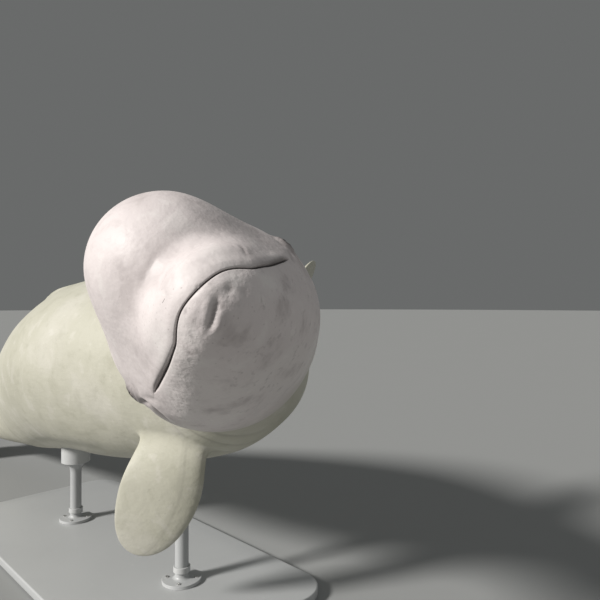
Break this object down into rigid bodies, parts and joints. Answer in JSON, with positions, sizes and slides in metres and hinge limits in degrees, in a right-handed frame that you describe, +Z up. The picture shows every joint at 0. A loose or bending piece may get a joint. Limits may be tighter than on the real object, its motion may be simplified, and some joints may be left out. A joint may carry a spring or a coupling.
{
  "type": "beluga whale",
  "caption": "Life-size beluga whale as a still museum model, head turned to its right, held on a plain flat base by two short rods.",
  "frame": {"origin": "middle of the underside of the stand's base, under the widest part of the trunk", "axes": "+Z up; -Y the way the trunk heads; +X the whale's left side; the head is turned to its right, towards -X"},
  "size_m": [1.1701, 3.754, 1.2466],
  "materials": {
    "skin": "smooth white whale skin, softly mottled, with a low sheen",
    "eye": "wet dark eye",
    "stand": "satin pale grey paint"
  },
  "bodies": {
    "root": {"head": "skin", "lower_jaw": "skin", "neck": "skin", "chest": "skin", "belly": "skin", "tail_stock": "skin", "fluke_left": "skin", "fluke_right": "skin", "flipper_left": "skin", "flipper_right": "skin", "eye_left": "eye", "eye_right": "eye", "stand_base": "stand", "stand_rod_front": "stand", "stand_rod_rear": "stand"}
  },
  "joints": []
}
